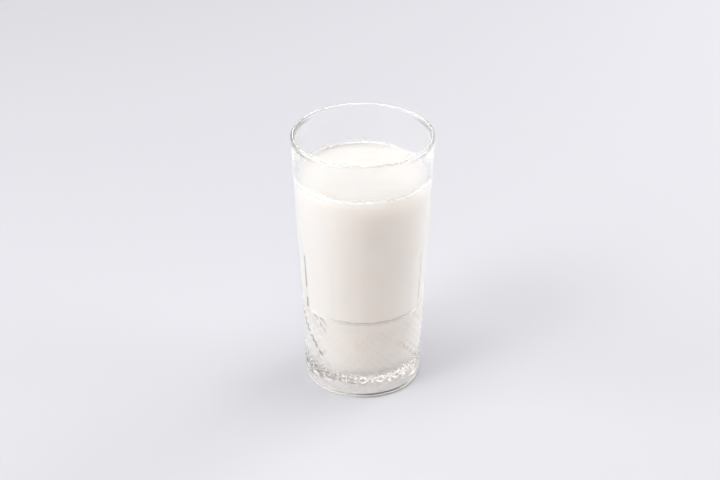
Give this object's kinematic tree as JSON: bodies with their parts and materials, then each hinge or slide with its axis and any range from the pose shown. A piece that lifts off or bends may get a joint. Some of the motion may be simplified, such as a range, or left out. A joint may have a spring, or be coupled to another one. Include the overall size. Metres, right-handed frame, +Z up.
{
  "type": "glass of ayran",
  "caption": "Tall clear pressed-glass tumbler with flutes over a diamond-cut foot, filled with plain white ayran to a little under the rim.",
  "frame": {"origin": "middle of the foot, at the height of the surface that the glass stands on", "axes": "+Z up along the glass's axis, -Y the front that faces the viewer, +X to the viewer's right"},
  "size_m": [0.08, 0.08, 0.152],
  "materials": {
    "clear_glass": "clear, colourless pressed glass with polished faces and a fire-polished round rim",
    "ayran_drink": "opaque, creamy white yoghurt drink with a wet, smooth surface"
  },
  "bodies": {
    "root": {"tumbler": "clear_glass", "ayran": "ayran_drink"}
  },
  "joints": []
}
